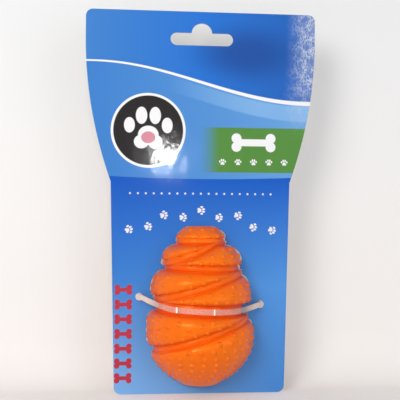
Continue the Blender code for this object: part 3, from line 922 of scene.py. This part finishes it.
def badgePrint(material, colour, x, z):
    # Round dark badge with a white rim and a big paw with a pink pad
    centreX, centreZ, radius, rim, size = printing["badge"]
    drop, wide, high = printing["pinkPad"]
    place = addNode(material, "CombineXYZ", {"X": x, "Z": z}).outputs["Vector"]
    centred = addNode(material, "Mapping", {"Vector": place, "Location": (-centreX, 0.0, -centreZ)})
    centred = centred.outputs["Vector"]
    away = addNode(material, "VectorMath", {0: centred}, operation="LENGTH").outputs["Value"]
    outer = addNode(material, "Math", {0: away, 1: radius}, operation="SUBTRACT")
    inner = addNode(material, "Math", {0: away, 1: radius - rim}, operation="SUBTRACT")
    colour = layInk(material, colour, printing["white"], outer.outputs[0])
    colour = layInk(material, colour, printing["badgeInk"], inner.outputs[0])
    colour = layInk(material, colour, printing["white"], pawShape(material, centred, size))
    low = addNode(material, "Mapping", {"Vector": centred, "Location": (0.0, 0.0, drop)})
    pad = addNode(material, "VectorMath", {0: low.outputs["Vector"], 1: (1.0 / wide, 0.0, 1.0 / high)},
                  operation="MULTIPLY")
    pad = addNode(material, "VectorMath", {0: pad.outputs["Vector"]}, operation="LENGTH")
    pad = addNode(material, "Math", {0: pad.outputs["Value"], 1: high, 2: -high},
                  operation="MULTIPLY_ADD")
    return layInk(material, colour, printing["pinkInk"], pad.outputs[0])


def lowerPrint(material, colour, x, z, across):
    # Lower field, paler towards the foot, with a bowed trail of paws that step left and right
    foot = addNode(material, "MapRange", {"Value": z, "From Min": printing["foldHeight"],
                                          "From Max": printing["lowerEnd"]})
    left = fadeInks(material, foot.outputs["Result"], printing["lowerLeft"])
    right = fadeInks(material, foot.outputs["Result"], printing["lowerRight"])
    field = addNode(material, "Mix", {"Factor": across, "A": left, "B": right}, data_type="RGBA")
    bow = addNode(material, "Math", {0: x, 1: x}, operation="MULTIPLY")
    bow = addNode(material, "Math", {0: bow.outputs[0], 1: printing["foldBow"],
                                     2: printing["foldHeight"]}, operation="MULTIPLY_ADD")
    over = addNode(material, "Math", {0: z, 1: bow.outputs[0]}, operation="SUBTRACT")
    colour = layInk(material, colour, field.outputs["Result"], over.outputs[0])
    centre, radius, pitch, size, sideStep, count = printing["trail"]
    up = addNode(material, "Math", {0: z, 1: centre}, operation="SUBTRACT").outputs[0]
    lean = addNode(material, "Math", {0: x, 1: up}, operation="ARCTAN2")
    along = addNode(material, "Math", {0: lean.outputs[0], 1: radius}, operation="MULTIPLY").outputs[0]
    ray = addNode(material, "CombineXYZ", {"X": x, "Z": up})
    ray = addNode(material, "VectorMath", {0: ray.outputs["Vector"]}, operation="LENGTH")
    out = addNode(material, "Math", {0: ray.outputs["Value"], 1: radius}, operation="SUBTRACT")
    cell = addNode(material, "Math", {0: along, 1: pitch / 2.0, 2: -pitch / 2.0}, operation="WRAP")
    pair = addNode(material, "Math", {0: along, 1: 1.5 * pitch, 2: -pitch / 2.0}, operation="WRAP")
    side = addNode(material, "Math", {0: pair.outputs[0], 1: pitch / 2.0}, operation="GREATER_THAN")
    side = addNode(material, "Math", {0: side.outputs[0], 1: 2.0 * sideStep, 2: -sideStep},
                   operation="MULTIPLY_ADD")
    out = addNode(material, "Math", {0: out.outputs[0], 1: side.outputs[0]}, operation="ADD")
    place = addNode(material, "CombineXYZ", {"X": out.outputs[0], "Z": cell.outputs[0]})
    paws = pawShape(material, place.outputs["Vector"], size)
    paws = rowShape(material, paws, along, count, pitch)
    return layInk(material, colour, printing["white"], paws, share=printing["trailShare"])


def columnPrint(material, colour, x, z):
    # Row of white dots under the fold, and a column of red bones up the left side
    row, pitch, radius, count = printing["dots"]
    cell = addNode(material, "Math", {0: x, 1: pitch / 2.0, 2: -pitch / 2.0}, operation="WRAP")
    up = addNode(material, "Math", {0: z, 1: row}, operation="SUBTRACT")
    place = addNode(material, "CombineXYZ", {"X": cell.outputs[0], "Z": up.outputs[0]})
    away = addNode(material, "VectorMath", {0: place.outputs["Vector"]}, operation="LENGTH")
    dots = addNode(material, "Math", {0: away.outputs["Value"], 1: radius}, operation="SUBTRACT")
    dots = rowShape(material, dots.outputs[0], x, count, pitch)
    colour = layInk(material, colour, printing["white"], dots, share=printing["dotShare"])
    centreX, centreZ, pitch, length, width, count = printing["column"]
    out = addNode(material, "Math", {0: x, 1: centreX}, operation="SUBTRACT")
    up = addNode(material, "Math", {0: z, 1: centreZ}, operation="SUBTRACT").outputs[0]
    cell = addNode(material, "Math", {0: up, 1: pitch / 2.0, 2: -pitch / 2.0}, operation="WRAP")
    place = addNode(material, "CombineXYZ", {"X": out.outputs[0], "Z": cell.outputs[0]})
    bones = boneShape(material, place.outputs["Vector"], length, width)
    bones = rowShape(material, bones, up, count, pitch)
    return layInk(material, colour, printing["columnInk"], bones)


film = {
    # painted glare: the near-white colour, and how much of it is mixed into the print where the film has
    # lifted
    "paintedGlare": "#E4ECF2",
    "glareShare": 0.75,
    "fromEdge": (-16.0, -2.0),    # from the header's right edge: where it begins and is full
    "heights": (-52.0, -12.0),    # where it begins upwards and is full
    "waverPerMm": 0.5,
    "waver": 2.4,                 # how far the cracks stray
    "lean": 0.15,                 # how far the cells lean over, in radians
    "cells": (0.85, 1.0, 0.3),    # cells are about three times as tall as they are wide
    "cellsPerMm": 1.5,
    "crack": (0.03, 0.2),         # full to here and gone from here, in shares of a cell
    "patchPerMm": 0.22,
    "patch": (0.36, 0.56),
    "web": 0.8,                   # share of the painted glare that follows the cracks, the rest being an even veil
    "relief": 0.35,
}


def liftedFilmAndGlare(material, x, z):
    # Where the film has lifted along the header's right edge: upright crackle, 0 to 1, which raises the
    # film and carries its painted silvery glare
    down = addNode(material, "Math", {0: z, 1: card["waistHeight"]}, operation="DIVIDE")
    down = addNode(material, "Math", {0: down.outputs[0], 1: 0.0}, operation="MAXIMUM")
    down = addNode(material, "Math", {0: down.outputs[0], 1: card["sideCurve"]}, operation="POWER")
    edge = addNode(material, "Math", {0: down.outputs[0], 1: card["waistHalf"] - card["headerHalf"],
                                      2: card["headerHalf"]}, operation="MULTIPLY_ADD")
    inside = addNode(material, "Math", {0: x, 1: edge.outputs[0]}, operation="SUBTRACT")
    near = addNode(material, "MapRange", {"Value": inside.outputs[0], "From Min": film["fromEdge"][0],
                                          "From Max": film["fromEdge"][1]},
                   interpolation_type="SMOOTHSTEP")
    high = addNode(material, "MapRange", {"Value": z, "From Min": film["heights"][0],
                                          "From Max": film["heights"][1]},
                   interpolation_type="SMOOTHSTEP")
    place = addNode(material, "CombineXYZ", {"X": x, "Z": z}).outputs["Vector"]
    waver = addNode(material, "TexNoise", {"Vector": place, "Scale": film["waverPerMm"],
                                           "Detail": 3.0})
    waver = addNode(material, "VectorMath", {0: waver.outputs["Color"],
                                             1: (film["waver"], 0.0, film["waver"]), 2: place},
                    operation="MULTIPLY_ADD")
    tall = addNode(material, "Mapping", {"Vector": waver.outputs["Vector"],
                                         "Rotation": (0.0, film["lean"], 0.0),
                                         "Scale": film["cells"]})
    cell = addNode(material, "TexVoronoi", {"Vector": tall.outputs["Vector"],
                                            "Scale": film["cellsPerMm"]},
                   feature="DISTANCE_TO_EDGE")
    line = addNode(material, "MapRange", {"Value": cell.outputs["Distance"],
                                          "From Min": film["crack"][0],
                                          "From Max": film["crack"][1],
                                          "To Min": 1.0, "To Max": 0.0})
    patch = addNode(material, "TexNoise", {"Vector": place, "Scale": film["patchPerMm"],
                                           "Detail": 2.0})
    patch = addNode(material, "MapRange", {"Value": patch.outputs["Fac"],
                                           "From Min": film["patch"][0],
                                           "From Max": film["patch"][1]})
    both = addNode(material, "Math", {0: near.outputs["Result"], 1: high.outputs["Result"]},
                   operation="MULTIPLY")
    web = addNode(material, "Math", {0: line.outputs["Result"], 1: patch.outputs["Result"]},
                  operation="MULTIPLY")
    veil = addNode(material, "Math", {0: web.outputs[0], 1: film["web"], 2: 1.0 - film["web"]},
                   operation="MULTIPLY_ADD")
    return addNode(material, "Math", {0: both.outputs[0], 1: veil.outputs[0]},
                   operation="MULTIPLY").outputs[0]


def printedBoard():
    # Board printed in offset inks under a clear gloss film, which gives bright reflections with
    # slightly soft edges, a faint orange-peel, and lifted crackle along the header's right edge with a
    # painted silvery glare
    material = newMaterial("printedBoard")
    place = addNode(material, "TexCoord").outputs["Object"]
    place = addNode(material, "VectorMath", {0: place, "Scale": 1.0 / mm}, operation="SCALE")
    parts = addNode(material, "SeparateXYZ", {"Vector": place.outputs["Vector"]})
    x, z = parts.outputs["X"], parts.outputs["Z"]
    across = addNode(material, "MapRange", {"Value": x, "From Min": -card["headerHalf"],
                                            "From Max": card["headerHalf"]}).outputs["Result"]
    colour = headerPrint(material, x, z, across)
    colour = panelPrint(material, colour, x, z)
    colour = badgePrint(material, colour, x, z)
    colour = lowerPrint(material, colour, x, z, across)
    colour = columnPrint(material, colour, x, z)
    liftAndGlare = liftedFilmAndGlare(material, x, z)
    # painted glare: near-white mixed into the print over the lifted film
    paintedGlare = addNode(material, "Math", {0: liftAndGlare, 1: film["glareShare"]}, operation="MULTIPLY")
    colour = addNode(material, "Mix", {"Factor": paintedGlare.outputs[0], "A": colour,
                                       "B": colourFrom(film["paintedGlare"])}, data_type="RGBA")
    peel = addNode(material, "TexNoise", {"Vector": place.outputs["Vector"],
                                          "Scale": board["peelPerMm"], "Detail": 3.0})
    relief = addNode(material, "Math", {0: liftAndGlare, 1: film["relief"], 2: peel.outputs["Fac"]},
                     operation="MULTIPLY_ADD")
    skin = addNode(material, "Bump", {"Height": relief.outputs[0], "Strength": board["peelStrength"],
                                      "Distance": board["peelHeight"] * mm})
    surface = addNode(material, "BsdfPrincipled", {
        "Base Color": colour.outputs["Result"], "Roughness": board["inkRoughness"], "IOR": 1.5,
        "Specular IOR Level": board["inkShine"], "Coat Weight": board["gloss"][0],
        "Coat Roughness": board["gloss"][1], "Coat Normal": skin.outputs["Normal"]})
    addNode(material, "OutputMaterial", {"Surface": surface.outputs["BSDF"]})
    return material


def dressCard(item):
    # Print on the front, bare pulp on the back and on the cut edges
    item.data.materials.clear()
    for material in (boardBack(), printedBoard()):
        item.data.materials.append(material)
    for face in item.data.polygons:
        face.material_index = 1 if face.normal.y < board["front"] else 0


# Stage, lights and camera

stage = {
    "wall": 31.0,            # the backdrop stands just behind the toy's back
    "floor": -180.6,
    "sweep": 900.0,
    "cove": 26.0,            # radius where floor and backdrop run into each other
    "coveSteps": 24,
    "pale": "#D9DCDF",
    "warm": "#E8E4E2",
    "fade": (-190.0, 30.0),  # heights between which the paper turns from warm to pale
    "glow": 0.17,            # lifts the paper to the photograph's pale grey where it is seen directly
    "worldLight": 0.31,
    "worldPale": "#E6E4E2",  # what the camera and the gloss see beyond the paper
}

view = {
    "target": (-0.4, 0.0, -82.2),
    "distance": 363.0,
    "azimuth": 5.0,          # degrees, as are the next two
    "elevation": -1.0,
    "roll": 0.38,
    "lens": 64.0,
    "sensor": 36.0,
    "nearest": 10.0,
}

# place, target, width, power in watts and colour
lamps = {
    "softKey": ((-430, -640, 200), (0, 0, -90), 420, 3.35, "#FFFAF5"),
    "fill": ((470, -600, 60), (0, 0, -90), 500, 1.05, "#FFFFFF"),
    "lowFill": ((120, -560, -430), (0, 0, -120), 420, 1.7, "#FFFFFF"),
    "lampGlare": ((5.5, -600, -14), (0, 0, -80), 24, 0.3, "#FFFFFF"),
    "backFill": ((200, 600, 200), (0, 0, -90), 500, 1.5, "#FFFFFF"),
}


def seenDirectly(material):
    # 1 for the rays by which the camera, gloss and clear plastic show the background
    path = addNode(material, "LightPath")
    seen = addNode(material, "Math", {0: path.outputs["Is Camera Ray"],
                                      1: path.outputs["Is Glossy Ray"]}, operation="MAXIMUM")
    return addNode(material, "Math", {0: seen.outputs[0], 1: path.outputs["Is Transmission Ray"]},
                   operation="MAXIMUM").outputs[0]


def paleSweep():
    # Matt background paper, warmer towards the floor, and clear from behind
    material = newMaterial("paleSweep")
    place = addNode(material, "TexCoord").outputs["Object"]
    parts = addNode(material, "SeparateXYZ", {"Vector": place})
    high = addNode(material, "MapRange", {"Value": parts.outputs["Z"],
                                          "From Min": stage["fade"][0] * mm,
                                          "From Max": stage["fade"][1] * mm})
    colour = addNode(material, "Mix", {"Factor": high.outputs["Result"], "A": colourFrom(stage["warm"]),
                                       "B": colourFrom(stage["pale"])}, data_type="RGBA")
    paper = addNode(material, "BsdfDiffuse", {"Color": colour.outputs["Result"]})
    glow = addNode(material, "Math", {0: seenDirectly(material), 1: stage["glow"]},
                   operation="MULTIPLY")
    glow = addNode(material, "Emission", {"Color": colourFrom("#FFFFFF"), "Strength": glow.outputs[0]})
    paper = addNode(material, "AddShader", {0: paper.outputs[0], 1: glow.outputs[0]})
    clear = addNode(material, "BsdfTransparent")
    behind = addNode(material, "NewGeometry").outputs["Backfacing"]
    both = addNode(material, "MixShader", {0: behind, 1: paper.outputs[0], 2: clear.outputs[0]})
    addNode(material, "OutputMaterial", {"Surface": both.outputs[0]})
    return material


def makeStage():
    # One sheet that runs from the floor up the wall in a cove
    print("stage")
    far, floor, wall, cove = stage["sweep"], stage["floor"], stage["wall"], stage["cove"]
    profile = [(-far, floor)]
    profile += arcPoints(wall - cove, floor + cove, cove, -90, 0, stage["coveSteps"])
    profile.append((wall, far))
    mesh = bpy.data.meshes.new("paperSweep")
    corners = [(x * mm, y * mm, z * mm) for y, z in profile for x in (-far, far)]
    faces = [(2 * step, 2 * step + 1, 2 * step + 3, 2 * step + 2) for step in range(len(profile) - 1)]
    mesh.from_pydata(corners, [], faces)
    mesh.materials.append(paleSweep())
    item = bpy.data.objects.new("paperSweep", mesh)
    scene.collection.objects.link(item)
    pick(item)
    bpy.ops.object.shade_smooth()


def makeWorld():
    # Soft white light all round, while the camera and the gloss see a pale grey like the paper's
    world = bpy.data.worlds.new("studio")
    world.use_nodes = True
    tree = world.node_tree
    tree.nodes.clear()
    scene.world = world
    light = addNode(world, "Background", {"Color": colourFrom("#FFFFFF"),
                                          "Strength": stage["worldLight"]})
    pale = addNode(world, "Background", {"Color": colourFrom(stage["worldPale"]), "Strength": 1.0})
    both = addNode(world, "MixShader", {0: seenDirectly(world), 1: light.outputs[0],
                                        2: pale.outputs[0]})
    addNode(world, "OutputWorld", {"Surface": both.outputs[0]})


def addLamp(name, place, target, size, power, colour):
    lamp = bpy.data.lights.new(name, "AREA")
    lamp.shape = "DISK"
    lamp.size = size * mm
    lamp.energy = power
    lamp.color = colourFrom(colour)[:3]
    item = bpy.data.objects.new(name, lamp)
    scene.collection.objects.link(item)
    item.location = Vector(place) * mm
    aim = (Vector(target) - Vector(place)).normalized()
    item.rotation_euler = aim.to_track_quat("-Z", "Y").to_euler()


def makeLights():
    print("lights")
    makeWorld()
    for name, settings in lamps.items():
        addLamp(name, *settings)


def makeCamera():
    print("camera")
    lens = bpy.data.cameras.new("camera")
    lens.sensor_width = view["sensor"]
    lens.lens = view["lens"]
    lens.clip_start = view["nearest"] * mm
    item = bpy.data.objects.new("camera", lens)
    scene.collection.objects.link(item)
    azimuth, elevation = math.radians(view["azimuth"]), math.radians(view["elevation"])
    back = Vector((-math.sin(azimuth) * math.cos(elevation), -math.cos(azimuth) * math.cos(elevation),
                   math.sin(elevation)))
    target = Vector(view["target"]) * mm
    place = target + back * view["distance"] * mm
    turn = (-back).to_track_quat("-Z", "Y").to_matrix().to_4x4()
    item.matrix_world = (Matrix.Translation(place) @ turn
                         @ Matrix.Rotation(math.radians(view["roll"]), 4, "Z"))
    scene.camera = item


toyBody = makeToy()
toyBody.data.materials.clear()
toyBody.data.materials.append(naturalRubber())
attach(toyBody, "root")
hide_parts("toy_body")

hangCard = makeCard()
dressCard(hangCard)
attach(hangCard, "root")
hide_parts("hang_card")

cableTie = makeTie()
cableTie.data.materials.clear()
cableTie.data.materials.append(plainNylon())
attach(cableTie, "root")
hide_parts("cable_tie")

makeStage()
makeLights()
makeCamera()
scene.view_settings.view_transform = "Standard"

for piece in (toyBody, hangCard, cableTie):
    piece.data.calc_loop_triangles()
    print(piece.name, len(piece.data.loop_triangles), "triangles")
